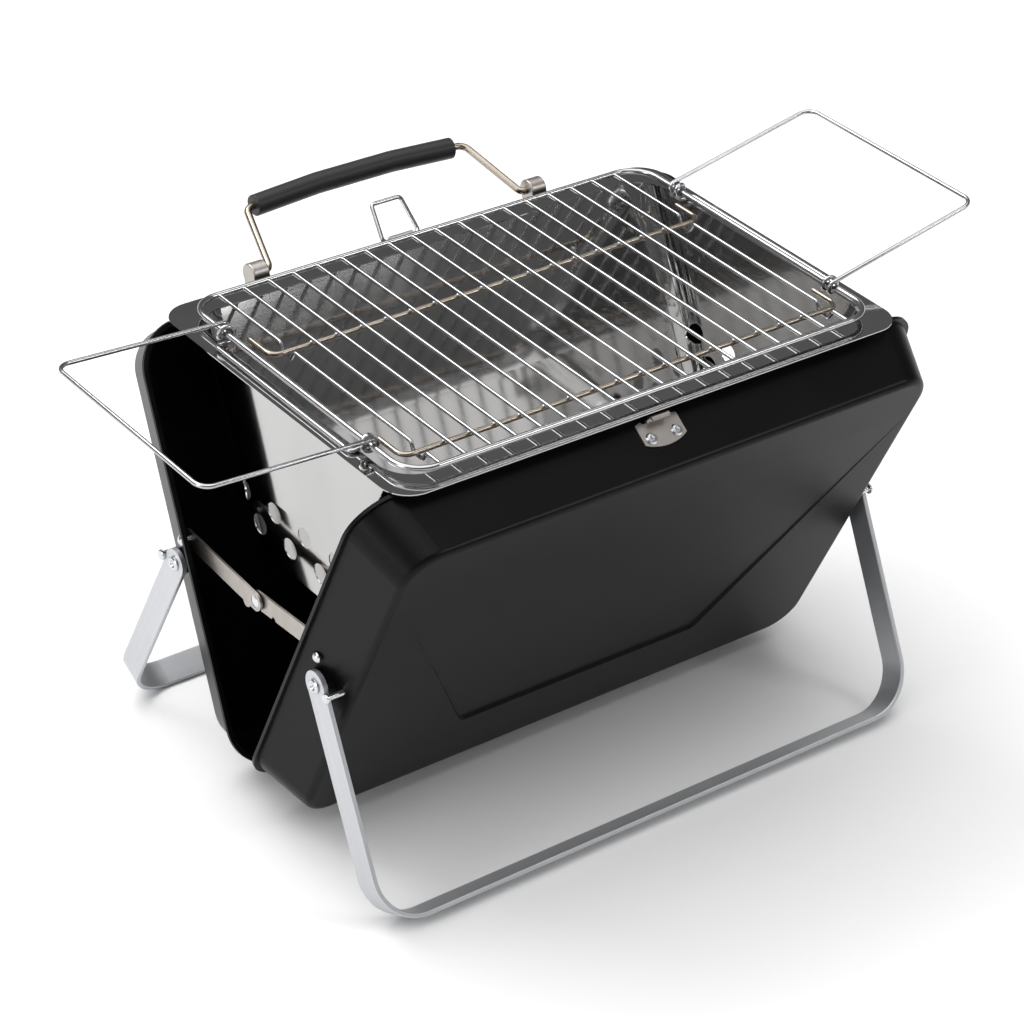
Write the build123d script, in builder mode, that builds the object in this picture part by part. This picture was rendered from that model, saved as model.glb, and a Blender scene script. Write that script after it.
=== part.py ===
"""Folding camp grill: two pressed steel half shells on a bottom hinge, opened into a V.

The shells stand on two folding U legs and are held open by a folding brace at each end.
A drop-in firebox hangs between them by its flange and carries a lift-off wire grate.

Frame: X along the hinge, -Y the front shell, +Y the back shell, Z up.
The origin is on the ground under the middle of the grill. All sizes are millimetres.
"""

import os
from math import asin, atan2, cos, degrees, radians, sin, sqrt

from build123d import *

# ---------------------------------------------------------------- driving dimensions
SHELL_TILT = 23.5  # lean of each open half shell from upright, degrees
HINGE_Z = 22.0  # height of the hinge axis above the ground
HINGE_Y = -23.6  # the origin is under the middle of the whole, carry handle included

SHEET = 0.8  # shell sheet thickness
MOUTH_HALF_X = 218.0  # half length of a shell at its open side
MOUTH_LOW = 8.0  # mouth edge next to the hinge, measured up the shell from the hinge
MOUTH_HIGH = 299.5  # mouth edge at the top
MOUTH_V = 0.6  # the mouth stands this far off the closing plane
MOUTH_R = 28.0
FACE_HALF_X = 205.0
FACE_LOW = 14.0
FACE_HIGH = 291.0
FACE_V = 45.0  # depth of a half shell
FACE_R = 24.0
FACE_EDGE_R = 5.0
LIP_WIDE = 2.5
LIP_DEEP = 2.4

PANEL_LOW = 64.0  # pressed panel on the face: lower border
PANEL_HIGH = 272.0
PANEL_HALF_LOW = 97.0
PANEL_HALF_HIGH = 212.0
PANEL_DEPTH = 1.8  # at the lower border, fading to nothing at the top

ROD_R = 2.0
RUN = 0.05  # radial running clearance of every pivot
KNUCKLE_R = 3.9
KNUCKLE_PITCH = 40.0
KNUCKLE_LONG = 39.4
KNUCKLES = 9
LEAF_THICK = 1.2

LEG_UP = 147.0  # leg pivot, up the shell from the hinge
LEG_V = 24.0  # leg pivot, out from the closing plane
LEG_SPLAY = 27.0  # lean of an open leg from upright, degrees
LEG_WIDE = 20.0
LEG_THICK = 3.2
LEG_EDGE_R = 0.8
LEG_IN_X = 215.5  # inner face of a leg arm
LEG_BEND_R = 34.0
LEG_RIVET_R = 3.0
LEG_HEAD_R = 5.0
PAD_X = 214.6  # outer face of the round pad pressed in the end wall
STUD_R = 2.1
STUD_ALONG = 7.0  # stop stud, down the open leg from its pivot

BRACE_UP = 162.0  # brace anchor, up the shell from the hinge
BRACE_V = 13.6
BRACE_DROP = 5.0  # the middle joint rests this far below its anchors
BRACE_WIDE = 13.0
BRACE_THICK = 1.5
BRACE_FRONT_X = 205.6  # inner face of the front links
BRACE_BACK_X = 208.2  # inner face of the back links
BRACE_RIVET_R = 2.0
LINK_RIVET_R = 2.25

FLANGE_TOP = 300.0
PAN_SHEET = 0.7
FLANGE_HALF_X = 197.0
FLANGE_HALF_Y = 133.0
FLANGE_R = 20.0
PAN_TOP = (184.0, 116.0, 24.0)  # inner half length, inner half width, corner radius
PAN_FOLD = (184.0, 68.0, 16.0)
PAN_FLOOR = (182.0, 45.0, 12.0)
FOLD_Z = 216.0
FLOOR_Z = 172.0
VENT_R = 7.2
VENT_ROWS = ((207.5, (-51.0, -17.0, 17.0, 51.0)), (190.0, (-34.0, 0.0, 34.0)))  # height, places along Y

GRATE_Z = 306.5
FRAME_R = 2.0
FRAME_HALF_X = 181.0
FRAME_HALF_Y = 121.0
FRAME_CORNER_R = 20.0
BAR_R = 1.25
BAR_HALF_X = 158.5
BARS = 18
ROD_RAIL_R = 1.75
RAIL_YS = (-98.0, 42.0)
RAIL_HALF_X = 170.0
RAIL_TURN = 24.0

HANDLE_R = 1.5
HANDLE_OUT = 117.5  # how far each wire handle stands out past the end of the frame
HANDLE_HALF_Y = 76.5
HANDLE_TILTS = {"left": 5.0, "right": 14.0}  # lift of each wire handle above level
COIL_R = 5.0
COIL_LOW_Y = 66.0
COIL_HIGH_Y = 84.0
CLOSING_OUT = 9.6  # closing leg of a handle, out from the frame end wire
CLOSING_DOWN = 4.95
HANDLE_START = 3.4  # first point of a handle arm, out from the frame end wire

CARRY_UP = 310.7  # carry handle pivot, up the back shell from the hinge
CARRY_V = 27.4
CARRY_RISE = 20.3  # lift of the carry handle above level, degrees
CARRY_WIRE_R = 2.5
GRIP_R = 7.3
GRIP_LEFT = -82.0
GRIP_RIGHT = 78.0
GRIP_LINE = [(-88.0, 52.5), (-30.0, 56.5), (30.0, 56.5), (88.0, 52.5)]  # along X, out from the pivots
KNEE_X = 101.5
EAR_R = 7.5
EAR_HALF = 6.0
EAR_X = 112.0
EAR_BASE = 2.0
WIRE_END = 114.0

LATCH_X = -4.0
CATCH_V = 18.0
BAIL_X = -6.0
BAIL_UP = 306.8
BAIL_V = 16.0
BAIL_RISE = 45.0
BAIL_LONG = 27.0
BAIL_LOW_HALF = 14.5
BAIL_TOP_HALF = 11.5
BAIL_R = 1.5
SMALL_RIVET_R = 1.6
SMALL_HEAD_R = 4.0

# ---------------------------------------------------------------- derived placement
T = radians(SHELL_TILT)
hinge = Vector(0, HINGE_Y, HINGE_Z)
shell_planes = {
    "front": Plane(origin=hinge, x_dir=(1, 0, 0), z_dir=(0, -cos(T), -sin(T))),
    "back": Plane(origin=hinge, x_dir=(-1, 0, 0), z_dir=(0, cos(T), -sin(T))),
}
sign_y = {"front": -1, "back": 1}
side_x = {"left": -1, "right": 1}


def on_shell(which, x, up, out):
    """A point given along X, up the shell and out from the closing plane."""
    s = sign_y[which]
    y = HINGE_Y + s * (up * sin(T) + out * cos(T))
    return Vector(x, y, HINGE_Z + up * cos(T) - out * sin(T))


def level(z):
    """Horizontal plane over the hinge line."""
    return Plane(origin=(0, HINGE_Y, z))


def wall_x(out):
    """Half length of the shell's outer end wall at a given depth."""
    return MOUTH_HALF_X - (MOUTH_HALF_X - FACE_HALF_X) * (out - MOUTH_V) / (FACE_V - MOUTH_V)


def top_wall(out):
    """Height up the shell of the outer top wall at a given depth."""
    return MOUTH_HIGH - (MOUTH_HIGH - FACE_HIGH) * (out - MOUTH_V) / (FACE_V - MOUTH_V)


def cap_mid(base, radius, height):
    """Point half way up the round of a domed head: distance along the rivet, distance from its axis."""
    ball = (radius**2 + height**2) / (2 * abs(height))
    half = asin(radius / ball) / 2
    way = 1 if height > 0 else -1
    return (base + height - way * ball * (1 - cos(half)), ball * sin(half))


os.makedirs("parts", exist_ok=True)

OPEN = radians(SHELL_TILT + LEG_SPLAY)  # angle from the shell's own down direction to the open leg
leg_splay = radians(LEG_SPLAY)
leg_pivot = {w: on_shell(w, 0, LEG_UP, LEG_V) for w in sign_y}
leg_dir = {w: Vector(0, sign_y[w] * sin(leg_splay), -cos(leg_splay)) for w in sign_y}
edge_rise = LEG_EDGE_R * (cos(leg_splay) + sin(leg_splay) - 1)
leg_long = (leg_pivot["front"].Z - LEG_WIDE / 2 * sin(leg_splay) + edge_rise) / cos(leg_splay)
stud_off = LEG_WIDE / 2 + STUD_R + RUN
STUD_UP = LEG_UP - STUD_ALONG * cos(OPEN) + stud_off * sin(OPEN)
STUD_V = LEG_V + STUD_ALONG * sin(OPEN) + stud_off * cos(OPEN)
brace_anchor = {w: on_shell(w, 0, BRACE_UP, BRACE_V) for w in sign_y}
brace_half = HINGE_Y - brace_anchor["front"].Y
brace_long = sqrt(brace_half**2 + BRACE_DROP**2)
brace_middle = Vector(0, HINGE_Y, brace_anchor["front"].Z - BRACE_DROP)

# ---------------------------------------------------------------- half shells
# Drawn once lying flat: x along the hinge, y up the shell, z out from the closing plane.
WALL_HOLES = ((LEG_UP, LEG_V, LEG_RIVET_R), (STUD_UP, STUD_V, 1.8), (BRACE_UP, BRACE_V, BRACE_RIVET_R))
mouth_mid = (MOUTH_LOW + MOUTH_HIGH) / 2
mouth_tall = MOUTH_HIGH - MOUTH_LOW
face_mid = (FACE_LOW + FACE_HIGH) / 2
face_tall = FACE_HIGH - FACE_LOW

with BuildPart() as panel_press:
    with BuildSketch(Plane.XY.offset(FACE_V + 0.6)):
        with BuildLine():
            Polyline(
                (-PANEL_HALF_LOW, PANEL_LOW),
                (PANEL_HALF_LOW, PANEL_LOW),
                (PANEL_HALF_HIGH, PANEL_HIGH),
                (-PANEL_HALF_HIGH, PANEL_HIGH),
                close=True,
            )
        make_face()
        fillet(vertices(), 8.0)
    extrude(amount=-5.0, taper=40.0)
    with BuildSketch(Plane.YZ):
        with BuildLine():
            Polyline(
                (PANEL_LOW - 4.0, FACE_V + 1.0),
                (PANEL_LOW - 4.0, FACE_V - PANEL_DEPTH),
                (PANEL_HIGH - 20.0, FACE_V),
                (PANEL_HIGH - 20.0, FACE_V + 1.0),
                close=True,
            )
        make_face()
    extrude(amount=260.0, both=True, mode=Mode.INTERSECT)

with BuildPart() as cavity:
    with BuildSketch(Plane.XY.offset(MOUTH_V - 0.2)):
        with Locations((0, mouth_mid)):
            RectangleRounded(2 * (MOUTH_HALF_X - SHEET), mouth_tall - 2 * SHEET, MOUTH_R - SHEET)
    with BuildSketch(Plane.XY.offset(FACE_V - SHEET)):
        with Locations((0, face_mid)):
            RectangleRounded(2 * (FACE_HALF_X - SHEET), face_tall - 2 * SHEET, FACE_R - SHEET)
    loft()
    fillet(cavity.faces().sort_by(Axis.Z)[-1].edges(), FACE_EDGE_R - SHEET)
    add(panel_press.part.moved(Location((0, 0, -SHEET))), mode=Mode.SUBTRACT)
    with BuildSketch(Plane.YZ):
        with Locations((LEG_UP, LEG_V)):
            Circle(7.6)
    extrude(amount=PAD_X - SHEET, both=True)

with BuildPart() as shell_form:
    with BuildSketch(Plane.XY.offset(MOUTH_V)):
        with Locations((0, mouth_mid)):
            RectangleRounded(2 * MOUTH_HALF_X, mouth_tall, MOUTH_R)
    with BuildSketch(Plane.XY.offset(FACE_V)):
        with Locations((0, face_mid)):
            RectangleRounded(2 * FACE_HALF_X, face_tall, FACE_R)
    loft()
    fillet(shell_form.faces().sort_by(Axis.Z)[-1].edges(), FACE_EDGE_R)
    add(panel_press.part, mode=Mode.SUBTRACT)
    with BuildSketch(Plane.XY.offset(MOUTH_V)):
        with Locations((0, mouth_mid)):
            RectangleRounded(
                2 * (MOUTH_HALF_X + LIP_WIDE),
                mouth_tall + 2 * LIP_WIDE,
                MOUTH_R + LIP_WIDE,
            )
    extrude(amount=LIP_DEEP)
    with BuildSketch(Plane.YZ):
        with Locations((LEG_UP, LEG_V)):
            Circle(8.6)
    extrude(amount=PAD_X, both=True)
    add(cavity.part, mode=Mode.SUBTRACT)
    for up, out, radius in WALL_HOLES:
        with BuildSketch(Plane.YZ):
            with Locations((up, out)):
                Circle(radius + RUN)
        extrude(amount=MOUTH_HALF_X + 5.0, both=True, mode=Mode.SUBTRACT)

# rivets through the sloping top walls: x, depth
top_lean = degrees(atan2(MOUTH_HIGH - FACE_HIGH, FACE_V - MOUTH_V))
top_rivets = {
    "front": [(LATCH_X - 9.8, 22.0), (LATCH_X + 9.8, 22.0)],
    "back": [(-EAR_X - 13.0, CARRY_V), (-EAR_X + 13.0, CARRY_V), (EAR_X - 13.0, CARRY_V)]
    + [(EAR_X + 13.0, CARRY_V), (-BAIL_X - 16.0, BAIL_V + 2.0), (-BAIL_X + 16.0, BAIL_V + 2.0)],
}


def on_top(x, out, lift=0.0):
    """Plane on the outer top wall of the flat-lying shell, its normal pointing away from the wall."""
    lean = radians(top_lean)
    normal = Vector(0, cos(lean), sin(lean))
    point = Vector(x, top_wall(out), out) + normal * lift
    return Plane(origin=point, x_dir=(1, 0, 0), z_dir=normal)


with BuildPart() as front_shell:
    add(shell_form.part)
    for x, out in top_rivets["front"]:
        with BuildSketch(on_top(x, out, 3.0)):
            Circle(SMALL_RIVET_R + RUN)
        extrude(amount=-8.0, mode=Mode.SUBTRACT)
with BuildPart() as back_shell:
    add(shell_form.part)
    for x, out in top_rivets["back"]:
        with BuildSketch(on_top(x, out, 3.0)):
            Circle(SMALL_RIVET_R + RUN)
        extrude(amount=-8.0, mode=Mode.SUBTRACT)

for which, flat in (("front", front_shell), ("back", back_shell)):
    placed = flat.part.moved(shell_planes[which].location)
    placed.label = f"{which}_shell"
    export_step(placed, f"parts/{which}_shell.step")
    print(which, "shell", round(placed.volume), placed.bounding_box())

# ---------------------------------------------------------------- hinge
with BuildPart() as hinge_rod:
    with BuildSketch(Plane(origin=hinge, x_dir=(0, 1, 0), z_dir=(1, 0, 0))):
        Circle(ROD_R)
    extrude(amount=KNUCKLES * KNUCKLE_PITCH / 2 + 3.0, both=True)
    for end in (-1, 1):
        with BuildSketch(
            Plane(
                origin=hinge + Vector(end * (KNUCKLES * KNUCKLE_PITCH / 2 + 1.0), 0, 0),
                x_dir=(0, 1, 0),
                z_dir=(end, 0, 0),
            )
        ):
            Circle(ROD_R + 1.3)
        extrude(amount=2.0)
hinge_rod.part.label = "hinge_rod"
export_step(hinge_rod.part, "parts/hinge_rod.step")

floor_lean = atan2(FACE_LOW - MOUTH_LOW, FACE_V - MOUTH_V)
floor_dir = Vector(sin(floor_lean), cos(floor_lean))  # (up, out) along the outer bottom wall
floor_out = Vector(-cos(floor_lean), sin(floor_lean))
floor_start = Vector(MOUTH_LOW, MOUTH_V)


def floor_point(along, away):
    """(up, out) of a point along the outer bottom wall and away from it."""
    return floor_start + floor_dir * along + floor_out * away


for which, odd in (("front", 0), ("back", 1)):
    with BuildPart() as leaf:
        with BuildSketch(Plane.YZ):
            with BuildLine():
                Polyline(
                    tuple(floor_point(6.5, 0.05))[:2],
                    tuple(floor_point(22.0, 0.05))[:2],
                    tuple(floor_point(22.0, 0.05 + LEAF_THICK))[:2],
                    tuple(floor_point(6.5, 0.05 + LEAF_THICK))[:2],
                    close=True,
                )
            make_face()
        extrude(amount=KNUCKLES * KNUCKLE_PITCH / 2 - 0.5, both=True)
        for i in range(odd, KNUCKLES, 2):
            x = (i - (KNUCKLES - 1) / 2) * KNUCKLE_PITCH
            with BuildSketch(Plane.YZ.offset(x - KNUCKLE_LONG / 2)):
                Circle(KNUCKLE_R)
                with BuildLine():
                    Polyline(
                        (0.6, 3.4),
                        tuple(floor_point(6.7, 0.1))[:2],
                        tuple(floor_point(7.8, 0.05 + LEAF_THICK))[:2],
                        (-2.8, 2.4),
                        close=True,
                    )
                make_face()
                Circle(ROD_R + RUN, mode=Mode.SUBTRACT)
            extrude(amount=KNUCKLE_LONG)
    placed = leaf.part.moved(shell_planes[which].location)
    placed.label = f"{which}_hinge_leaf"
    export_step(placed, f"parts/{which}_hinge_leaf.step")

# ---------------------------------------------------------------- folding legs
for which in sign_y:
    pivot = leg_pivot[which]
    leg_plane = Plane(origin=pivot, x_dir=(1, 0, 0), z_dir=leg_dir[which].cross(Vector(1, 0, 0)) * -1)
    down = -1 if leg_plane.y_dir.dot(leg_dir[which]) < 0 else 1
    out_x = LEG_IN_X + LEG_THICK
    with BuildPart() as leg:
        with BuildSketch(leg_plane):
            with BuildLine():
                FilletPolyline(
                    (-out_x, 0),
                    (-out_x, down * leg_long),
                    (out_x, down * leg_long),
                    (out_x, 0),
                    radius=LEG_BEND_R,
                )
                Line((out_x, 0), (LEG_IN_X, 0))
                FilletPolyline(
                    (LEG_IN_X, 0),
                    (LEG_IN_X, down * (leg_long - LEG_THICK)),
                    (-LEG_IN_X, down * (leg_long - LEG_THICK)),
                    (-LEG_IN_X, 0),
                    radius=LEG_BEND_R - LEG_THICK,
                )
                Line((-LEG_IN_X, 0), (-out_x, 0))
            make_face()
        extrude(amount=LEG_WIDE / 2, both=True)
        fillet(leg.edges().filter_by(Axis.X).sort_by(Axis.Z)[:4], LEG_EDGE_R)
        for end in (-1, 1):
            arm_end = pivot + Vector(end * LEG_IN_X, 0, 0)
            with BuildSketch(Plane(origin=arm_end, x_dir=(0, 1, 0), z_dir=(end, 0, 0))):
                Circle(LEG_WIDE / 2)
            extrude(amount=LEG_THICK)
        with BuildSketch(Plane(origin=pivot, x_dir=(0, 1, 0), z_dir=(1, 0, 0))):
            Circle(LEG_RIVET_R + RUN)
        extrude(amount=out_x + 5, both=True, mode=Mode.SUBTRACT)
    leg.part.label = f"{which}_leg"
    export_step(leg.part, f"parts/{which}_leg.step")
    print(which, "leg", leg.part.bounding_box(), len(leg.part.solids()))

    # tubular pivot rivets, their spacers and the shouldered stop studs
    arm_x = LEG_IN_X + LEG_THICK + 0.3
    with BuildPart() as leg_rivets:
        for end in (-1, 1):
            with BuildSketch(Plane(origin=pivot, x_dir=(end, 0, 0), z_dir=(0, 0, 1))):
                with BuildLine():
                    Polyline(
                        (arm_x + 0.4, 0),
                        (PAD_X - SHEET - 1.5, 0),
                        (PAD_X - SHEET - 1.5, 4.6),
                        (PAD_X - SHEET - 0.05, 4.6),
                        (PAD_X - SHEET - 0.05, LEG_RIVET_R),
                        (arm_x, LEG_RIVET_R),
                        (arm_x, LEG_HEAD_R),
                        (arm_x + 0.8, LEG_HEAD_R),
                        (arm_x + 1.5, LEG_HEAD_R - 0.9),
                        (arm_x + 1.5, 2.7),
                        (arm_x + 0.4, 1.7),
                        close=True,
                    )
                make_face()
            revolve(axis=Axis(pivot, (1, 0, 0)))
    leg_rivets.part.label = f"{which}_leg_rivets"
    export_step(leg_rivets.part, f"parts/{which}_leg_rivets.step")

    with BuildPart() as spacers:
        for end in (-1, 1):
            pad = pivot + Vector(end * PAD_X, 0, 0)
            with BuildSketch(Plane(origin=pad, x_dir=(0, 1, 0), z_dir=(end, 0, 0))):
                Circle(6.6)
                Circle(LEG_RIVET_R + RUN, mode=Mode.SUBTRACT)
            extrude(amount=LEG_IN_X - PAD_X - 0.1)
    spacers.part.label = f"{which}_leg_spacers"
    export_step(spacers.part, f"parts/{which}_leg_spacers.step")

    stud = on_shell(which, 0, STUD_UP, STUD_V)
    stud_wall = wall_x(STUD_V)
    with BuildPart() as studs:
        for end in (-1, 1):
            with BuildSketch(Plane(origin=stud, x_dir=(end, 0, 0), z_dir=(0, 0, 1))):
                with BuildLine():
                    Polyline(
                        (arm_x + 1.8, 0),
                        (stud_wall - 3.2, 0),
                        (stud_wall - 3.2, 2.8),
                        (stud_wall - 2.0, 2.8),
                        (stud_wall - 2.0, 1.8),
                        (stud_wall + 0.8, 1.8),
                        (stud_wall + 0.8, STUD_R),
                        (arm_x, STUD_R),
                        (arm_x, 3.6),
                        (arm_x + 1.2, 3.6),
                        (arm_x + 1.8, 3.0),
                        close=True,
                    )
                make_face()
            revolve(axis=Axis(stud, (1, 0, 0)))
    studs.part.label = f"{which}_stop_studs"
    export_step(studs.part, f"parts/{which}_stop_studs.step")

# ---------------------------------------------------------------- end braces
for which in sign_y:
    anchor = brace_anchor[which]
    inner_x = BRACE_FRONT_X if which == "front" else BRACE_BACK_X
    toward = brace_middle - anchor
    link_plane = Plane(origin=anchor, x_dir=toward.normalized(), z_dir=(1, 0, 0))
    with BuildPart() as anchors:
        for end in (-1, 1):
            wall = wall_x(BRACE_V)
            with BuildSketch(Plane(origin=anchor, x_dir=(end, 0, 0), z_dir=(0, 0, 1))):
                with BuildLine():
                    Polyline(
                        (wall + 3.3, 0),
                        (inner_x - 1.5, 0),
                        (inner_x - 1.5, 3.6),
                        (inner_x - 0.3, 3.6),
                        (inner_x - 0.3, BRACE_RIVET_R),
                        (wall + 1.2, BRACE_RIVET_R),
                        (wall + 1.2, 3.8),
                    )
                    ThreePointArc((wall + 1.2, 3.8), cap_mid(wall + 1.2, 3.8, 2.1), (wall + 3.3, 0))
                make_face()
            revolve(axis=Axis(anchor, (1, 0, 0)))
    anchors.part.label = f"{which}_brace_anchors"
    export_step(anchors.part, f"parts/{which}_brace_anchors.step")

    for side, end in side_x.items():
        start = inner_x if end > 0 else -inner_x - BRACE_THICK
        with BuildPart() as link:
            with BuildSketch(link_plane.offset(start)):
                with Locations((brace_long / 2, 0)):
                    SlotCenterToCenter(brace_long, BRACE_WIDE)
                if which == "back":
                    with Locations((brace_long - 9.0, BRACE_WIDE / 2 - 1.0)):
                        Circle(4.0)
                else:
                    with Locations((brace_long - 17.0, -BRACE_WIDE / 2)):
                        Circle(2.2, mode=Mode.SUBTRACT)
                Circle(BRACE_RIVET_R + RUN, mode=Mode.SUBTRACT)
                with Locations((brace_long, 0)):
                    Circle(2.3, mode=Mode.SUBTRACT)
            extrude(amount=BRACE_THICK)
        link.part.label = f"{which}_link_{side}"
        export_step(link.part, f"parts/{which}_link_{side}.step")

        # half of the middle rivet, set in this link and stopping short of the other
        head_x = end * (inner_x if which == "front" else inner_x + BRACE_THICK)
        head_way = -end if which == "front" else end
        tip_x = end * (inner_x + BRACE_THICK if which == "front" else inner_x)
        with BuildPart() as half_rivet:
            with BuildSketch(Plane(origin=brace_middle, x_dir=(1, 0, 0), z_dir=(0, 0, 1))):
                base = head_x + head_way * 0.05
                top = base + head_way * 1.1
                with BuildLine():
                    Polyline((top, 0), (tip_x, 0), (tip_x, LINK_RIVET_R), (base, LINK_RIVET_R), (base, 4.2))
                    ThreePointArc((base, 4.2), cap_mid(base, 4.2, head_way * 1.1), (top, 0))
                make_face()
            revolve(axis=Axis(brace_middle, (1, 0, 0)))
        half_rivet.part.label = f"{which}_link_rivet_{side}"
        export_step(half_rivet.part, f"parts/{which}_link_rivet_{side}.step")

# ---------------------------------------------------------------- catch plate
flat_to_front = shell_planes["front"].location
flat_to_back = shell_planes["back"].location
catch_plane = on_top(LATCH_X, CATCH_V, 0.05)
with BuildPart() as catch_flat:
    with BuildSketch(catch_plane):
        with BuildLine():
            Polyline((-10.0, 8.6), (-16.0, 7.0), (-16.0, -7.0))
            ThreePointArc((-16.0, -7.0), (0.0, -11.0), (16.0, -7.0))
            Polyline((16.0, -7.0), (16.0, 7.0), (10.0, 8.6), (-10.0, 8.6))
        make_face()
        with Locations((-9.4, 8.4), (9.4, 8.4)):
            Circle(1.9, mode=Mode.SUBTRACT)
    extrude(amount=1.2)
    hook_side = Plane(origin=catch_plane.origin, x_dir=catch_plane.y_dir, z_dir=(1, 0, 0))
    with BuildSketch(hook_side):
        with BuildLine():
            Polyline((5.2, 0.8), (8.6, 0.8), (8.6, 5.4))
            ThreePointArc((8.6, 5.4), (7.8, 7.4), (5.8, 8.2))
            Polyline((5.8, 8.2), (4.2, 8.0), (4.3, 6.9), (5.8, 7.0))
            ThreePointArc((5.8, 7.0), (6.9, 6.5), (7.4, 5.4))
            Polyline((7.4, 5.4), (7.4, 2.6), (6.6, 1.4), (5.2, 0.8))
        make_face()
    extrude(amount=6.8, both=True)
    for x, out in top_rivets["front"]:
        with BuildSketch(on_top(x, out, 3.0)):
            Circle(SMALL_RIVET_R + RUN)
        extrude(amount=-8.0, mode=Mode.SUBTRACT)
catch_plate = catch_flat.part.moved(flat_to_front)
catch_plate.label = "catch_plate"
export_step(catch_plate, "parts/catch_plate.step")

for label, which, grip, picks in (
    ("catch_rivets", "front", 1.3, (0, 1)),
    ("bracket_rivets", "back", 2.1, (0, 1, 2, 3)),
    ("bail_rivets", "back", 1.3, (4, 5)),
):
    with BuildPart() as rivets:
        for pick in picks:
            x, out = top_rivets[which][pick]
            wall = on_top(x, out)
            with BuildSketch(Plane(origin=wall.origin, x_dir=wall.x_dir, z_dir=wall.y_dir * -1)):
                with BuildLine():
                    Polyline(
                        (0, grip + 0.5),
                        (0, -2.3),
                        (2.6, -2.3),
                        (2.6, -SHEET - 0.3),
                        (SMALL_RIVET_R, -SHEET - 0.3),
                        (SMALL_RIVET_R, grip + 0.05),
                        (SMALL_HEAD_R, grip + 0.05),
                        (SMALL_HEAD_R, grip + 0.4),
                        (3.1, grip + 1.3),
                        (1.7, grip + 1.4),
                        (1.0, grip + 0.5),
                        close=True,
                    )
                make_face()
            revolve(axis=Axis(wall.origin, wall.z_dir))
    placed = rivets.part.moved(shell_planes[which].location)
    placed.label = label
    export_step(placed, f"parts/{label}.step")

# ---------------------------------------------------------------- bail latch on the back shell
top_back = on_top(-BAIL_X, BAIL_V + 2.0, 0.05)
bail_pivot_flat = Vector(-BAIL_X, BAIL_UP, BAIL_V)
with BuildPart() as bail_base:
    with BuildSketch(top_back):
        RectangleRounded(46.0, 12.0, 4.0)
    extrude(amount=1.2)
    with BuildSketch(Plane(origin=bail_pivot_flat, x_dir=(0, 1, 0), z_dir=(1, 0, 0))):
        Circle(3.0)
        with Locations((-4.8, 0.6)):
            Rectangle(8.6, 2.4)
        Circle(BAIL_R + RUN, mode=Mode.SUBTRACT)
    extrude(amount=9.0, both=True)
    for x, out in top_rivets["back"][4:]:
        with BuildSketch(on_top(x, out, 3.0)):
            Circle(SMALL_RIVET_R + RUN)
        extrude(amount=-8.0, mode=Mode.SUBTRACT)
placed = bail_base.part.moved(flat_to_back)
placed.label = "bail_bracket"
export_step(placed, "parts/bail_bracket.step")

bail_rise = radians(BAIL_RISE)
bail_pivot = on_shell("back", BAIL_X, BAIL_UP, BAIL_V)
bail_plane = Plane(origin=bail_pivot, x_dir=(1, 0, 0), z_dir=(0, -sin(bail_rise), cos(bail_rise)))
with BuildPart() as latch_bail:
    with BuildLine(bail_plane):
        FilletPolyline((0, 0), (BAIL_LOW_HALF, 0), (BAIL_TOP_HALF, BAIL_LONG), (0, BAIL_LONG), radius=3.0)
    with BuildSketch(Plane(origin=bail_pivot, x_dir=(0, 1, 0), z_dir=(1, 0, 0))):
        Circle(BAIL_R)
    sweep()
    mirror(about=Plane.YZ.offset(BAIL_X))
latch_bail.part.label = "latch_bail"
export_step(latch_bail.part, "parts/latch_bail.step")

# ---------------------------------------------------------------- carry handle
with BuildPart() as ears:
    for end in (-1, 1):
        base_plane = on_top(end * EAR_X, CARRY_V, 0.05)
        with BuildSketch(base_plane):
            RectangleRounded(36.0, 15.0, 5.0)
        extrude(amount=EAR_BASE)
        ear_middle = (end * EAR_X, CARRY_UP, CARRY_V)
        with BuildSketch(Plane(origin=ear_middle, x_dir=(0, 1, 0), z_dir=(1, 0, 0))):
            Circle(EAR_R)
            with Locations((-8.0, 0.0)):
                Rectangle(13.0, 13.0)
        extrude(amount=EAR_HALF, both=True)
    ear_rims = ears.edges().filter_by(GeomType.CIRCLE).filter_by(lambda e: abs(e.radius - EAR_R) < 0.01)
    fillet(ear_rims, 0.9)
    for end in (-1, 1):
        with BuildSketch(on_top(end * EAR_X, CARRY_V, 0.05)):
            Rectangle(60.0, 60.0)
        extrude(amount=-20.0, mode=Mode.SUBTRACT)
        bore = (end * (EAR_X - EAR_HALF - 1.0), CARRY_UP, CARRY_V)
        with BuildSketch(Plane(origin=bore, x_dir=(0, 1, 0), z_dir=(end, 0, 0))):
            Circle(CARRY_WIRE_R + RUN)
        extrude(amount=WIRE_END + 0.3 - abs(bore[0]), mode=Mode.SUBTRACT)
    for x, out in top_rivets["back"][:4]:
        with BuildSketch(on_top(x, out, 3.0)):
            Circle(SMALL_RIVET_R + RUN)
        extrude(amount=-8.0, mode=Mode.SUBTRACT)
placed = ears.part.moved(flat_to_back)
placed.label = "carry_handle_ears"
export_step(placed, "parts/carry_handle_ears.step")

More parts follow.
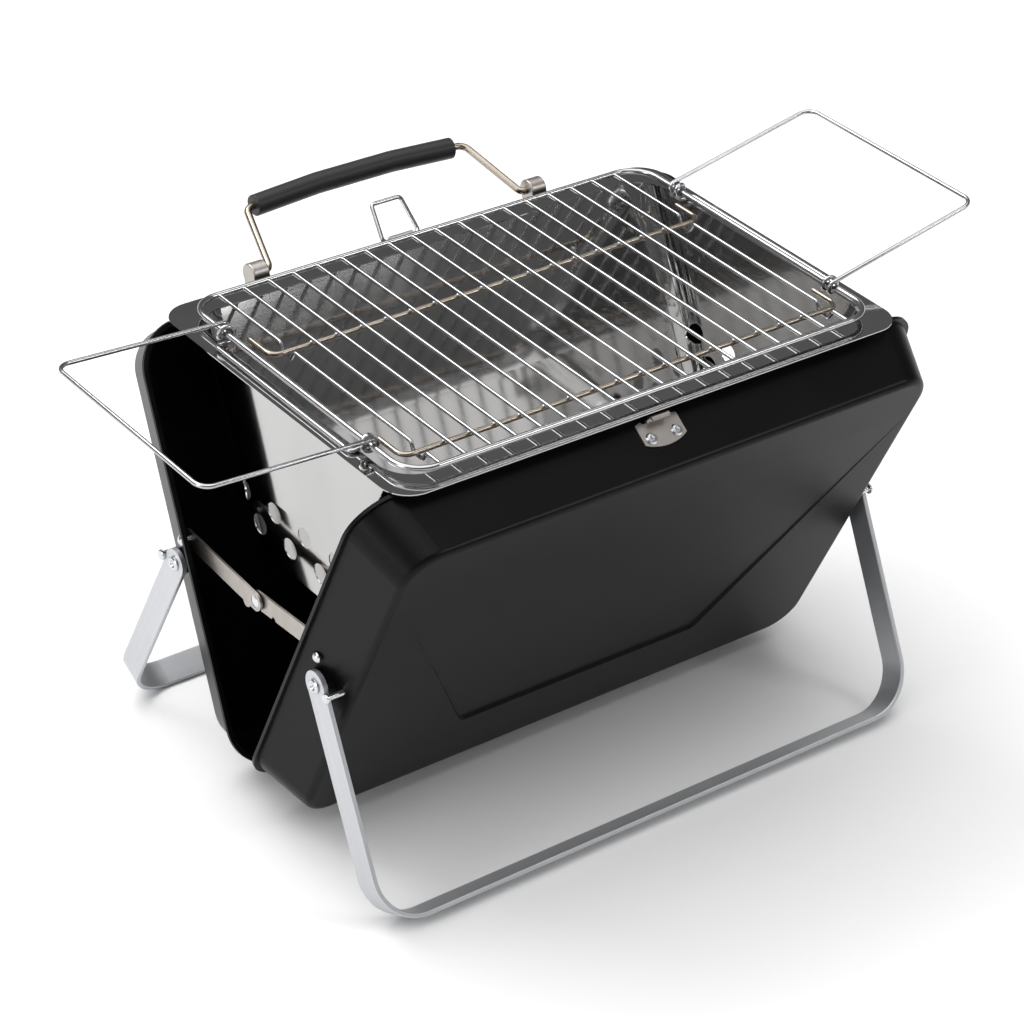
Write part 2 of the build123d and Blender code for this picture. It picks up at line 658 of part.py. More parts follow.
carry_rise = radians(CARRY_RISE)
carry_pivot = on_shell("back", 0, CARRY_UP, CARRY_V)
carry_plane = Plane(origin=carry_pivot, x_dir=(1, 0, 0), z_dir=(0, -sin(carry_rise), cos(carry_rise)))
with BuildPart() as carry_wire:
    with BuildLine(carry_plane):
        FilletPolyline(
            (-WIRE_END, 0),
            (-KNEE_X, 0),
            *GRIP_LINE,
            (KNEE_X, 0),
            (WIRE_END, 0),
            radius=[5.0, 7.0, 60.0, 60.0, 7.0, 5.0],
        )
    wire_start = carry_pivot - Vector(WIRE_END, 0, 0)
    with BuildSketch(Plane(origin=wire_start, x_dir=(0, 1, 0), z_dir=(1, 0, 0))):
        Circle(CARRY_WIRE_R)
    sweep()
carry_wire.part.label = "carry_handle_wire"
export_step(carry_wire.part, "parts/carry_handle_wire.step")



def grip_height(x):
    """How far out from the pivots the grip's centre line is, near either end."""
    (x_low, low), (x_high, high) = GRIP_LINE[:2]
    return low + (abs(x_low) - abs(x)) / (x_high - x_low) * (high - low)


with BuildPart() as carry_grip:
    with BuildLine(carry_plane) as grip_path:
        FilletPolyline(
            (GRIP_LEFT, grip_height(GRIP_LEFT)),
            *GRIP_LINE[1:3],
            (GRIP_RIGHT, grip_height(GRIP_RIGHT)),
            radius=60.0,
        )
    with BuildSketch(
        Plane(
            origin=carry_plane.from_local_coords((GRIP_LEFT, grip_height(GRIP_LEFT), 0)),
            x_dir=carry_plane.z_dir,
            z_dir=grip_path.line @ 0.01 - grip_path.line @ 0,
        )
    ):
        Circle(GRIP_R)
        Circle(CARRY_WIRE_R + RUN, mode=Mode.SUBTRACT)
    sweep()
    rims = carry_grip.edges().filter_by(GeomType.CIRCLE).filter_by(lambda e: abs(e.radius - GRIP_R) < 0.01)
    fillet(rims, 0.9)
carry_grip.part.label = "carry_handle_grip"
export_step(carry_grip.part, "parts/carry_handle_grip.step")

# ---------------------------------------------------------------- firebox
FLANGE_LOW = FLANGE_TOP - PAN_SHEET
levels = ((FLANGE_LOW, PAN_TOP), (FOLD_Z, PAN_FOLD), (FLOOR_Z, PAN_FLOOR))


def pan_room(grow, drop):
    """Levels of the pan's wall, grown outward by the sheet and dropped under the floor."""
    out = []
    for z, (half_x, half_y, corner) in levels:
        lower = z - drop if z == FLOOR_Z else z
        out.append((lower, 2 * (half_x + grow), 2 * (half_y + grow), corner + grow))
    return out


with BuildPart() as firebox:
    with BuildSketch(level(FLANGE_LOW)):
        RectangleRounded(2 * FLANGE_HALF_X, 2 * FLANGE_HALF_Y, FLANGE_R)
    extrude(amount=PAN_SHEET)
    grown = pan_room(PAN_SHEET, PAN_SHEET)
    for high, low in zip(grown, grown[1:]):
        for z, wide, deep, corner in (high, low):
            with BuildSketch(level(z)):
                RectangleRounded(wide, deep, corner)
        loft()
    inner = pan_room(0.0, 0.0)
    for high, low in zip(inner, inner[1:]):
        for z, wide, deep, corner in (high, low):
            with BuildSketch(level(z)):
                RectangleRounded(wide, deep, corner)
        loft(mode=Mode.SUBTRACT)
    with BuildSketch(level(FLANGE_LOW)):
        RectangleRounded(2 * PAN_TOP[0], 2 * PAN_TOP[1], PAN_TOP[2])
    extrude(amount=PAN_SHEET, mode=Mode.SUBTRACT)
    for z, places in VENT_ROWS:
        with BuildSketch(Plane(origin=(0, HINGE_Y, z), x_dir=(0, 1, 0), z_dir=(1, 0, 0))):
            with Locations(*[(y, 0) for y in places]):
                Circle(VENT_R)
        extrude(amount=FLANGE_HALF_X, both=True, mode=Mode.SUBTRACT)
firebox.part.label = "firebox"
export_step(firebox.part, "parts/firebox.step")
print("firebox", firebox.part.bounding_box(), len(firebox.part.solids()))

# ---------------------------------------------------------------- cooking grate
with BuildPart() as grate_frame:
    with BuildLine(level(GRATE_Z)):
        FilletPolyline(
            (0, -FRAME_HALF_Y),
            (FRAME_HALF_X, -FRAME_HALF_Y),
            (FRAME_HALF_X, FRAME_HALF_Y),
            (0, FRAME_HALF_Y),
            radius=FRAME_CORNER_R,
        )
    frame_start = (0, HINGE_Y - FRAME_HALF_Y, GRATE_Z)
    with BuildSketch(Plane(origin=frame_start, x_dir=(0, 1, 0), z_dir=(1, 0, 0))):
        Circle(FRAME_R)
    sweep()
    mirror(about=Plane.YZ)
grate_frame.part.label = "grate_frame"
export_step(grate_frame.part, "parts/grate_frame.step")

bar_end = FRAME_HALF_Y - FRAME_R
bar_step = 2 * BAR_HALF_X / (BARS - 1)
with BuildPart() as grate_bars:
    for i in range(1, BARS - 1):
        bar_start = (-BAR_HALF_X + i * bar_step, HINGE_Y - bar_end, GRATE_Z)
        with BuildSketch(Plane(origin=bar_start, x_dir=(1, 0, 0), z_dir=(0, 1, 0))):
            Circle(BAR_R)
        extrude(amount=2 * bar_end)
grate_bars.part.label = "grate_bars"
export_step(grate_bars.part, "parts/grate_bars.step")

rail_z = GRATE_Z - BAR_R - ROD_RAIL_R
dip = GRATE_Z - 2 * BAR_R - 2 * ROD_RAIL_R - 0.1
with BuildPart() as end_bars:
    for x in (-BAR_HALF_X, BAR_HALF_X):
        points = [(-bar_end, GRATE_Z)]
        for y in RAIL_YS:
            points += [(y - 8.0, GRATE_Z), (y - 4.5, dip), (y + 4.5, dip), (y + 8.0, GRATE_Z)]
        points.append((bar_end, GRATE_Z))
        with BuildLine(Plane(origin=(x, HINGE_Y, 0), x_dir=(0, 1, 0), z_dir=(1, 0, 0))):
            FilletPolyline(*points, radius=1.6)
        with BuildSketch(Plane(origin=(x, HINGE_Y - bar_end, GRATE_Z), x_dir=(1, 0, 0), z_dir=(0, 1, 0))):
            Circle(BAR_R)
        sweep()
end_bars.part.label = "grate_end_bars"
export_step(end_bars.part, "parts/grate_end_bars.step")

with BuildPart() as grate_rails:
    for y in RAIL_YS:
        with BuildLine(level(rail_z)):
            FilletPolyline(
                (-RAIL_HALF_X, y + RAIL_TURN),
                (-RAIL_HALF_X, y),
                (RAIL_HALF_X, y),
                (RAIL_HALF_X, y + RAIL_TURN),
                radius=7.0,
            )
        rail_start = (-RAIL_HALF_X, HINGE_Y + y + RAIL_TURN, rail_z)
        with BuildSketch(Plane(origin=rail_start, x_dir=(1, 0, 0), z_dir=(0, -1, 0))):
            Circle(ROD_RAIL_R)
        sweep()
grate_rails.part.label = "grate_rails"
export_step(grate_rails.part, "parts/grate_rails.step")

for side, end in side_x.items():
    tilt = radians(HANDLE_TILTS[side])
    swing = Vector(end * FRAME_HALF_X, HINGE_Y, GRATE_Z)
    reach = HANDLE_OUT / cos(tilt)
    outward = Vector(end * cos(tilt), 0, sin(tilt))
    lift_plane = Plane(origin=swing, x_dir=outward, z_dir=outward.cross(Vector(0, 1, 0)))
    closing = Vector(end * CLOSING_OUT, 0, -CLOSING_DOWN)
    closing_far = closing.length
    closing_plane = Plane(origin=swing, x_dir=closing.normalized(), z_dir=closing.cross(Vector(0, 1, 0)))
    with BuildPart() as handle:
        with BuildLine(lift_plane):
            FilletPolyline(
                (HANDLE_START, -HANDLE_HALF_Y),
                (reach, -HANDLE_HALF_Y),
                (reach, HANDLE_HALF_Y),
                (HANDLE_START, HANDLE_HALF_Y),
                radius=9.0,
            )
        arm_start = lift_plane.from_local_coords((HANDLE_START, -HANDLE_HALF_Y, 0))
        with BuildSketch(Plane(origin=arm_start, x_dir=(0, 1, 0), z_dir=outward)):
            Circle(HANDLE_R)
        sweep()
        with BuildLine(closing_plane):
            FilletPolyline(
                (HANDLE_START, -COIL_LOW_Y - 2.0),
                (closing_far, -COIL_LOW_Y - 2.0),
                (closing_far, COIL_LOW_Y + 2.0),
                (HANDLE_START, COIL_LOW_Y + 2.0),
                radius=3.0,
            )
        leg_start = closing_plane.from_local_coords((HANDLE_START, -COIL_LOW_Y - 2.0, 0))
        with BuildSketch(Plane(origin=leg_start, x_dir=(0, 1, 0), z_dir=closing.normalized())):
            Circle(HANDLE_R)
        sweep()
        for way in (-1, 1):
            coil_start = swing + Vector(0, way * COIL_LOW_Y, 0)
            with BuildSketch(Plane(origin=coil_start, x_dir=(1, 0, 0), z_dir=(0, way, 0))):
                Circle(COIL_R)
            extrude(amount=COIL_HIGH_Y - COIL_LOW_Y)
            bore_start = swing + Vector(0, way * 60.0, 0)
            with BuildSketch(Plane(origin=bore_start, x_dir=(1, 0, 0), z_dir=(0, way, 0))):
                Circle(FRAME_R + RUN)
            extrude(amount=30.0, mode=Mode.SUBTRACT)
    handle.part.label = f"grate_handle_{side}"
    export_step(handle.part, f"parts/grate_handle_{side}.step")
    print(side, "handle", handle.part.bounding_box(), len(handle.part.solids()))
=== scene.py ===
# %% [markdown]
# # Finishing a folding camp grill
#
# The object is a small charcoal grill that folds flat like a briefcase. Two pressed
# steel half shells stand open in a V on aluminium strap legs. A bright stainless
# firebox hangs between them and carries a chromed wire grate with two wire handles.
#
# The measured model comes in first as a fixed frame. Everything after it is looks:
# which real finish each piece has, and the few shapes that bent wire and welding give.

# %% Load the fixed frame
import math

import bmesh
import bpy
from mathutils import Matrix, Quaternion, Vector


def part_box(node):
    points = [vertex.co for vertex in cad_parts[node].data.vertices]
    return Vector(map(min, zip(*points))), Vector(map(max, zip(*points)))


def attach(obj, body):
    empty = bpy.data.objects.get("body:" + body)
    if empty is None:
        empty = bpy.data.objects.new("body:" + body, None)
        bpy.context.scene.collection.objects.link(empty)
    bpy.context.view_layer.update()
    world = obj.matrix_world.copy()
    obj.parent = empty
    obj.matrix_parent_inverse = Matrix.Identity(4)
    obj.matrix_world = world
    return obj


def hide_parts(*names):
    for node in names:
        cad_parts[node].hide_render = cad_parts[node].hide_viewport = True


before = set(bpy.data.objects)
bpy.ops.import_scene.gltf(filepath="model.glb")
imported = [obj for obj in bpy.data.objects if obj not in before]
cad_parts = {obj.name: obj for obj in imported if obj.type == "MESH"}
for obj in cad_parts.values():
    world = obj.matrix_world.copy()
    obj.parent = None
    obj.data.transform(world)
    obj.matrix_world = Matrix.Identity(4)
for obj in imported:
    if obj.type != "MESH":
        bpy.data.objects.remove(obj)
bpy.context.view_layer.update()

# %% [markdown]
# ## A way to write finishes
#
# A finish is a network of nodes. Wiring them one call at a time hides the idea, so two
# small helpers carry it: `Reading` is a number that varies over the surface, and the
# usual signs + and * on it add Math nodes; `Finish` owns one material and adds any node.

# %% Readings that do arithmetic
class Reading:
    """A value on one socket; arithmetic on it adds Math nodes."""

    def __init__(self, finish, socket):
        self.finish = finish
        self.socket = socket

    def _math(self, operation, first, second):
        return self.finish.node("ShaderNodeMath", {"operation": operation}, {0: first, 1: second})

    def __add__(self, other):
        return self._math("ADD", self, other)

    def __radd__(self, other):
        return self._math("ADD", other, self)

    def __mul__(self, other):
        return self._math("MULTIPLY", self, other)


# %% A finish and its nodes
class Finish:
    """One material, with a single method that adds any node to it."""

    def __init__(self, name, constants):
        self.material = bpy.data.materials.new(name)
        self.material.use_nodes = True
        self.tree = self.material.node_tree
        self.tree.nodes.clear()
        self.shader = self.tree.nodes.new("ShaderNodeBsdfPrincipled")
        end = self.tree.nodes.new("ShaderNodeOutputMaterial")
        self.tree.links.new(self.shader.outputs[0], end.inputs[0])
        for socket, value in constants.items():
            self.shader.inputs[socket].default_value = value

    def put(self, socket, value):
        """Sets an input to a plain value, or links a reading to it."""
        if isinstance(value, Reading):
            self.tree.links.new(value.socket, socket)
        else:
            socket.default_value = value

    def node(self, kind, settings=None, inputs=None, output=0):
        made = self.tree.nodes.new(kind)
        for key, value in (settings or {}).items():
            if key == "stops":
                for stop in value[2:]:
                    made.color_ramp.elements.new(stop[0])
                for element, (place, shade) in zip(made.color_ramp.elements, sorted(value)):
                    element.position = place
                    element.color = (shade, shade, shade, 1.0)
            else:
                setattr(made, key, value)
        for key, value in (inputs or {}).items():
            self.put(made.inputs[key], value)
        return Reading(self, made.outputs[output])

    def place(self, scale=(1, 1, 1), turn=(0, 0, 0)):
        """Position on the piece in metres, turned and then stretched."""
        here = self.node("ShaderNodeTexCoord", output=3)
        turned = self.node("ShaderNodeMapping", {"vector_type": "POINT"}, {"Vector": here, "Rotation": turn})
        return self.node("ShaderNodeMapping", {"vector_type": "POINT"}, {"Vector": turned, "Scale": scale})

    def noise(self, where, scale, detail=2.0, roughness=0.5):
        """Soft random patches, from 0 to 1, about 1/scale metres across."""
        sizes = {"Vector": where, "Scale": scale, "Detail": detail, "Roughness": roughness}
        return self.node("ShaderNodeTexNoise", {"normalize": True}, sizes)

    def ramp(self, value, *stops):
        return self.node("ShaderNodeValToRGB", {"stops": list(stops)}, {"Fac": value})

    def mix(self, share, first, second):
        """A colour between two others."""
        shades = {"Factor": share, "A": (*first, 1.0), "B": (*second, 1.0)}
        made = self.tree.nodes.new("ShaderNodeMix")
        made.data_type = "RGBA"
        for socket in made.inputs:
            if socket.enabled and socket.name in shades:
                self.put(socket, shades[socket.name])
        return Reading(self, next(s for s in made.outputs if s.enabled))

    def colour(self, value):
        self.put(self.shader.inputs["Base Color"], value)

    def rough(self, value):
        self.put(self.shader.inputs["Roughness"], value)

    def bump(self, height, depth):
        """Raises the surface by up to depth metres where height is 1."""
        sizes = {"Height": height, "Distance": depth, "Strength": 1.0}
        self.put(self.shader.inputs["Normal"], self.node("ShaderNodeBump", None, sizes))


def dress(finish, *nodes):
    """Gives measured pieces a finish, slot by slot."""
    for name in nodes:
        for material_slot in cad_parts[name].material_slots:
            material_slot.material = finish.material
    print(finish.material.name, "on", len(nodes), "pieces")


# %% [markdown]
# ## Black paint on the shells
#
# The shells are steel pressed in a die, then powder coated and baked. Powder leaves a
# satin skin with orange peel, a ripple about a millimetre across. A flat black would
# look like a hole, so two ripples are added: the peel itself, and a long slow wave from
# pressing that makes the broad highlights on the creases wander a little.

# %% Satin powder coat
paint = Finish("satin_powder_coat", {"IOR": 1.38, "Specular IOR Level": 0.20})
on_shell = paint.place()
peel = paint.noise(on_shell, 620.0, 1.0)
pressing = paint.noise(on_shell, 9.0, 1.0)
cloud = paint.noise(on_shell, 26.0, 3.0)
grain = paint.noise(on_shell, 2400.0, 1.0)
paint.colour(paint.mix(cloud, (0.0020, 0.0020, 0.0022), (0.0036, 0.0036, 0.0038)))
paint.rough(0.27 + cloud * 0.06 + grain * 0.05)
paint.bump(peel * 0.10 + pressing * 0.90, 0.00022)
dress(paint, "front_shell", "back_shell")

# %% [markdown]
# ## Brushed aluminium on the legs
#
# Each leg is one strap, brushed along its length before it was bent. Across the strap
# there is one direction only, the same on both arms and on the crossbar, because the
# bends were made round it. So the scratches are a noise that is squeezed along that
# direction and stretched along the other two: it follows the bends with no extra map.

# %% Brushed strap, turned to each leg's lean
LEG_LEAN = math.radians(27.0)
for leg, lean in (("front_leg", LEG_LEAN), ("back_leg", -LEG_LEAN)):
    strap = Finish("brushed_aluminium_" + leg, {"Metallic": 1.0})
    across = strap.place(scale=(7.0, 1500.0, 7.0), turn=(lean, 0.0, 0.0))
    scratches = strap.noise(across, 1.0, 4.0, 0.65)
    handled = strap.noise(strap.place(), 34.0, 3.0)
    strap.colour(strap.mix(scratches, (0.48, 0.49, 0.51), (0.68, 0.69, 0.71)))
    strap.rough(0.34 + scratches * 0.16 + handled * 0.08)
    strap.bump(scratches, 0.00005)
    dress(strap, leg)

# %% [markdown]
# ## Bright stainless on the firebox
#
# The firebox is thin polished stainless. It mirrors the wires over it, so it needs a
# very low roughness, but no real sheet is a perfect mirror: it is slightly wavy from
# folding, and it carries faint rolling lines and the smear of the hands that lifted it.

# %% Polished sheet
sheet = Finish("polished_stainless_sheet", {"Metallic": 1.0})
on_pan = sheet.place()
wave = sheet.noise(on_pan, 11.0, 1.0)
smear = sheet.ramp(sheet.noise(on_pan, 12.0, 2.0, 0.5), (0.50, 0.0), (0.95, 1.0))
rolling = sheet.noise(sheet.place(scale=(9.0, 900.0, 900.0)), 1.0, 3.0)
sheet.colour(sheet.mix(smear, (0.47, 0.467, 0.463), (0.40, 0.395, 0.39)))
sheet.rough(0.05 + smear * 0.05 + rolling * 0.03)
sheet.bump(wave, 0.00010)
dress(sheet, "firebox")

# %% [markdown]
# ## Chromed wire
#
# The grate is plain steel wire, welded and then plated. Plating is bright with a
# slightly uneven skin, and it is duller where the welding heat reached.

# %% Chrome plate
chrome = Finish("chrome_plated_wire", {"Metallic": 1.0})
on_wire = chrome.place()
skin = chrome.noise(on_wire, 420.0, 2.0)
dull = chrome.noise(on_wire, 45.0, 3.0)
chrome.colour(chrome.mix(dull, (0.36, 0.36, 0.37), (0.52, 0.52, 0.53)))
chrome.rough(0.10 + dull * 0.12 + skin * 0.04)
chrome.bump(skin, 0.00006)
dress(chrome, "grate_frame", "grate_bars", "grate_end_bars", "latch_bail")

# %% [markdown]
# ## Warm steel rod
#
# The rails under the bars and the carry handle's wire aren't plated. They are drawn
# stainless rod, browned a little by welding and bending, with draw marks along them.

# %% Drawn stainless rod
rod = Finish("drawn_stainless_rod", {"Metallic": 1.0})
on_rod = rod.place()
browning = rod.noise(on_rod, 28.0, 3.0)
drawn = rod.noise(rod.place(scale=(60.0, 900.0, 900.0)), 1.0, 3.0)
rod.colour(rod.mix(browning, (0.27, 0.22, 0.17), (0.42, 0.38, 0.33)))
rod.rough(0.17 + drawn * 0.14)
rod.bump(drawn, 0.00005)
dress(rod, "grate_rails", "carry_handle_wire")

# %% [markdown]
# ## Braces, hinge and fittings
#
# The brace links, the catch, the ears and the bail's bracket are punched from stainless
# strip that kept the mill's dull grey-brown face. Rivets and studs are zinc plated:
# brighter, faintly spangled, and a touch blue. The hinge leaves are plain steel,
# darkened with oil.

# %% Mill strip for the braces
links = [f"{half}_link_{side}" for half in ("front", "back") for side in ("left", "right")]
strip = Finish("mill_finish_strip", {"Metallic": 1.0})
milled = strip.noise(strip.place(scale=(900.0, 14.0, 900.0)), 1.0, 4.0, 0.6)
stain = strip.noise(strip.place(), 60.0, 4.0, 0.6)
strip.colour(strip.mix(stain, (0.34, 0.305, 0.275), (0.50, 0.475, 0.45)))
strip.rough(0.26 + milled * 0.16 + stain * 0.06)
strip.bump(milled, 0.00004)
dress(strip, *links, "catch_plate", "bail_bracket", "carry_handle_ears")

# %% Zinc plate for the small fittings
rivets = ["catch_rivets", "bracket_rivets", "bail_rivets"]
for half in ("front", "back"):
    rivets += [f"{half}_{kind}" for kind in ("leg_rivets", "leg_spacers", "stop_studs", "brace_anchors")]
    rivets += [f"{half}_link_rivet_{side}" for side in ("left", "right")]
zinc = Finish("bright_zinc_plate", {"Metallic": 1.0})
spangle = zinc.noise(zinc.place(), 900.0, 2.0)
worn = zinc.noise(zinc.place(), 130.0, 3.0)
zinc.colour(zinc.mix(worn, (0.52, 0.54, 0.57), (0.74, 0.75, 0.77)))
zinc.rough(0.17 + spangle * 0.14)
zinc.bump(spangle, 0.00005)
dress(zinc, *rivets)

# %% Oiled steel for the hinge
oiled = Finish("oiled_hinge_steel", {"Metallic": 1.0})
oil = oiled.noise(oiled.place(), 75.0, 4.0, 0.6)
oiled.colour(oiled.mix(oil, (0.20, 0.195, 0.19), (0.36, 0.355, 0.35)))
oiled.rough(0.28 + oil * 0.2)
oiled.bump(oil, 0.00008)
dress(oiled, "hinge_rod", "front_hinge_leaf", "back_hinge_leaf")

# %% [markdown]
# ## The grip
#
# The carry handle's wire goes through a black vinyl tube. Vinyl is softer than paint:
# a wider highlight, with fine pores from moulding.

# %% Moulded vinyl
vinyl = Finish("black_vinyl_grip", {"IOR": 1.46})
pores = vinyl.noise(vinyl.place(), 1500.0, 2.0)
rubbed = vinyl.noise(vinyl.place(), 55.0, 2.0)
vinyl.colour(vinyl.mix(rubbed, (0.010, 0.010, 0.011), (0.020, 0.020, 0.021)))
vinyl.rough(0.36 + rubbed * 0.10 + pores * 0.06)
vinyl.bump(pores, 0.00006)
dress(vinyl, "carry_handle_grip")

# %% [markdown]
# ## Wire handles
#
# Each handle is one length of 3 mm wire. It crosses at the far end, comes back to the
# grate, and winds one and a half times round the grate's end wire; then it goes on
# below as a low closing leg. A wire is bent on a jig with two moves, feed and turn, and
# the same two moves make the mesh: a ring is extruded for each straight run and spun
# for each bend. A coil is a spin that also creeps along its axis.

# %% Feed and turn
class BentWire:
    """A round wire bent from a ring of points, as on a jig."""

    def __init__(self, start, heading, radius, sides=14):
        self.bm = bmesh.new()
        self.place = Vector(start)
        self.heading = Vector(heading).normalized()
        turn = self.heading.to_track_quat("Z", "Y").to_matrix().to_4x4()
        bmesh.ops.create_circle(
            self.bm, segments=sides, radius=radius, matrix=Matrix.Translation(self.place) @ turn
        )
        self.ring = list(self.bm.edges)

    def feed(self, long):
        """A straight run along the heading."""
        made = bmesh.ops.extrude_edge_only(self.bm, edges=self.ring)
        corners = {part for part in made["geom"] if isinstance(part, bmesh.types.BMVert)}
        self.ring = [e for e in self.bm.edges if e.verts[0] in corners and e.verts[1] in corners]
        bmesh.ops.translate(self.bm, verts=list(corners), vec=self.heading * long)
        self.place = self.place + self.heading * long

    def turn(self, centre, axis, angle, creep=0.0):
        """A bend round an axis through centre, moving creep along that axis."""
        steps = max(4, math.ceil(abs(math.degrees(angle)) / 12.0))
        along = Vector(axis).normalized()
        made = bmesh.ops.spin(
            self.bm,
            geom=self.ring,
            cent=centre,
            axis=along,
            dvec=along * (creep / steps),
            angle=angle,
            steps=steps,
        )
        self.ring = [part for part in made["geom_last"] if isinstance(part, bmesh.types.BMEdge)]
        swing = Quaternion(along, angle)
        self.place = Vector(centre) + swing @ (self.place - Vector(centre)) + along * creep
        self.heading = swing @ self.heading

    def corner(self, toward, radius):
        """A bend from the heading to another direction, tangent to both."""
        toward = Vector(toward).normalized()
        axis = self.heading.cross(toward).normalized()
        centre = self.place + axis.cross(self.heading) * radius
        self.turn(centre, axis, self.heading.angle(toward))


def finish_piece(name, bm, body, record_slot, finish, *stands_for):
    """Turns a bmesh into a smooth piece that rides on a body."""
    bmesh.ops.recalc_face_normals(bm, faces=bm.faces)
    mesh = bpy.data.meshes.new(name)
    bm.to_mesh(mesh)
    bm.free()
    mesh.shade_smooth()
    mesh.materials.append(finish.material)
    piece = bpy.data.objects.new(name, mesh)
    bpy.context.scene.collection.objects.link(piece)
    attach(piece, body)
    if stands_for:
        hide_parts(*stands_for)
    print(name, len(mesh.polygons), "faces")
    return piece


# %% Where the handles meet the grate
frame_low, frame_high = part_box("grate_frame")
frame_wire = 0.0020
middle_y = (frame_low.y + frame_high.y) / 2
level_z = (frame_low.z + frame_high.z) / 2
end_x = frame_high.x - frame_wire
handle_wire = 0.0015
loop = 0.0046  # radius of the winding, loose on the 4 mm end wire
far_bend = 0.009
leg_bend = 0.003
winding_wide = 0.0085  # how far one winding creeps along the end wire
closing_leg = Vector((0.0096, -0.00495))  # out and down from the end wire
print("end wires at x", round(end_x, 4), "height", round(level_z, 4))

# %% Bend both handles
for side, end in (("left", -1), ("right", 1)):
    low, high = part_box("grate_handle_" + side)
    reach = max(abs(low.x), high.x) - handle_wire - end_x
    lift = high.z - handle_wire - level_z
    far = math.hypot(reach, lift)
    tilt = math.atan2(lift, reach)
    half_wide = high.y - handle_wire - middle_y
    hub = Vector((end * end_x, middle_y, level_z))

    def out_up(angle):
        """Unit direction at an angle above level, away from the grate."""
        return Vector((end * math.cos(angle), 0.0, math.sin(angle)))

    slope = tilt - math.asin(loop / far)
    touch = math.sqrt(far**2 - loop**2)
    far_corner = hub + out_up(tilt) * far
    wire = BentWire(far_corner, (0, 1, 0), handle_wire)
    wire.feed(half_wide - far_bend)
    wire.corner(-out_up(slope), far_bend)
    wire.feed(touch - far_bend)
    leave = math.atan2(closing_leg.y, closing_leg.x) - math.acos(loop / closing_leg.length) + 2 * math.pi
    winding = leave + 2 * math.pi - (slope + math.pi / 2)
    wire.turn(hub + Vector((0, half_wide, 0)), (0, -end, 0), winding, end * winding_wide)
    wire.feed(math.sqrt(closing_leg.length**2 - loop**2) - leg_bend)
    wire.corner((0, -1, 0), leg_bend)
    wire.feed(wire.place.y - middle_y)
    bmesh.ops.mirror(
        wire.bm,
        geom=[*wire.bm.verts, *wire.bm.edges, *wire.bm.faces],
        matrix=Matrix.Translation((0, -middle_y, 0)),
        merge_dist=1e-5,
        axis="Y",
    )
    bmesh.ops.remove_doubles(wire.bm, verts=wire.bm.verts, dist=1e-5)
    print(side, "handle tilt", round(math.degrees(tilt), 1), "winding", round(math.degrees(winding)))
    measured = "grate_handle_" + side
    finish_piece("wire_handle_" + side, wire.bm, "handle_" + side, "wire_chrome", chrome, measured)

# %% [markdown]
# ## Weld nuggets
#
# Where two wires cross, resistance welding squeezes out a small bead of metal. Nobody
# looks for it, but without it the bars only seem to rest on the rails. One low ball per
# crossing, flattened along the wires, is enough.

# %% Beads where bars meet rails and frame
bar_low, bar_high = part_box("grate_bars")
rail_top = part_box("grate_rails")[1].z
bar_r = (bar_high.z - bar_low.z) / 2
bar_first = bar_low.x + bar_r
bar_count = 16
bar_step = (bar_high.x - bar_low.x - 2 * bar_r) / (bar_count - 1)
rail_ys = (middle_y - 0.098, middle_y + 0.042)  # the rails aren't in the middle
beads = bmesh.new()


def bead(x, y, z, size):
    place = Matrix.Translation((x, y, z)) @ Matrix.Diagonal((*size, 1.0))
    bmesh.ops.create_icosphere(beads, subdivisions=2, radius=1.0, matrix=place)


for number in range(bar_count):
    x = bar_first + number * bar_step
    for y in rail_ys:
        bead(x, y, rail_top + 0.00005, (0.0021, 0.0017, 0.0007))
    for y in (bar_low.y, bar_high.y):
        bead(x, y, level_z, (0.0017, 0.0011, 0.0015))
finish_piece("grate_weld_beads", beads, "grate", "wire_chrome", chrome)

# %% [markdown]
# ## Floor, light and camera
#
# A plain pale floor that runs up out of sight keeps the eye on the grill. Polished
# wire only shows its shape when it has something dark and something bright to mirror,
# so the room is darkest just above the floor's edge, grey higher up, and large soft
# panels stand round it.

# %% Floor
floor_half = 9.0
just_under = Matrix.Translation((0, 0, -0.0002))
floor_bm = bmesh.new()
bmesh.ops.create_grid(floor_bm, x_segments=1, y_segments=1, size=floor_half, matrix=just_under)
floor_mesh = bpy.data.meshes.new("floor")
floor_bm.to_mesh(floor_mesh)
floor_bm.free()
floor = bpy.data.objects.new("floor", floor_mesh)
pale = Finish("pale_floor", {"Roughness": 0.9})
pale.colour((0.88, 0.88, 0.88, 1.0))
floor_mesh.materials.append(pale.material)
bpy.context.scene.collection.objects.link(floor)


# %% Soft panels
def panel(name, place, aim, wide, tall, power):
    light = bpy.data.lights.new(name, "AREA")
    light.shape = "RECTANGLE"
    light.size = wide
    light.size_y = tall
    light.energy = power
    lamp = bpy.data.objects.new(name, light)
    lamp.location = place
    lamp.rotation_euler = (Vector(aim) - Vector(place)).to_track_quat("-Z", "Y").to_euler()
    bpy.context.scene.collection.objects.link(lamp)


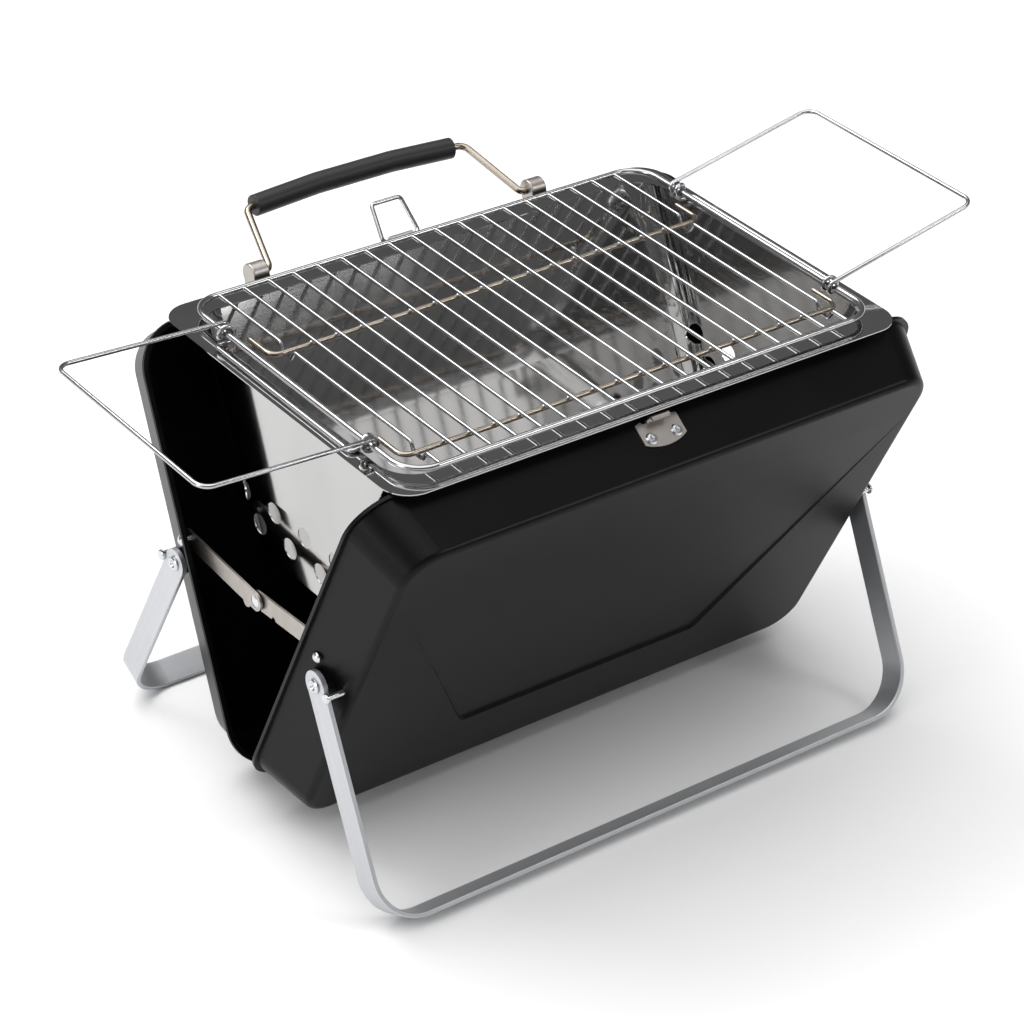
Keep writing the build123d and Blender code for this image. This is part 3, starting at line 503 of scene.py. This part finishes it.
heart = (0.0, -0.02, 0.2)
panel("overhead", (-0.5, 1.2, 1.9), heart, 1.6, 0.8, 20.0)
panel("left_side", (-2.4, -0.2, 1.0), heart, 0.9, 1.6, 14.0)
panel("front_right", (1.7, -2.3, 1.95), heart, 0.9, 0.6, 14.0)
skylight = bpy.data.lights.new("skylight", "SUN")
skylight.energy = 2.75
skylight.angle = math.radians(85.0)
sky = bpy.data.objects.new("skylight", skylight)
sky.rotation_euler = (math.radians(-9.0), math.radians(-8.0), 0.0)
bpy.context.scene.collection.objects.link(sky)
room = bpy.data.worlds.new("room")
room.use_nodes = True
room_nodes = room.node_tree.nodes
background = room_nodes["Background"]
direction = room_nodes.new("ShaderNodeTexCoord")
height = room_nodes.new("ShaderNodeSeparateXYZ")
wall = room_nodes.new("ShaderNodeValToRGB")
bands = ((0.0, 0.80), (0.10, 0.72), (0.18, 0.20), (0.34, 0.14), (0.50, 0.22), (1.0, 0.30))
for position, shade in bands[2:]:
    wall.color_ramp.elements.new(position)
for band, (position, shade) in zip(wall.color_ramp.elements, bands):
    band.position = position
    band.color = (shade, shade, shade, 1.0)
room.node_tree.links.new(direction.outputs["Generated"], height.inputs[0])
room.node_tree.links.new(height.outputs["Z"], wall.inputs[0])
room.node_tree.links.new(wall.outputs[0], background.inputs["Color"])
background.inputs["Strength"].default_value = 0.75
bpy.context.scene.world = room
bpy.context.scene.view_settings.view_transform = "Standard"

# %% Camera
yaw, pitch, roll = (math.radians(v) for v in (-38.10, 32.50, 2.76))
ahead = Vector((-math.sin(yaw) * math.cos(pitch), math.cos(yaw) * math.cos(pitch), -math.sin(pitch)))
lens = bpy.data.cameras.new("camera")
lens.lens = 117.7
lens.sensor_width = 36.0
lens.clip_start = 0.05
lens.clip_end = 60.0
camera = bpy.data.objects.new("camera", lens)
camera.location = (-1.1504, -1.4784, 1.3345)
camera.rotation_mode = "QUATERNION"
camera.rotation_quaternion = ahead.to_track_quat("-Z", "Y") @ Quaternion((0, 0, 1), roll)
bpy.context.scene.collection.objects.link(camera)
bpy.context.scene.camera = camera
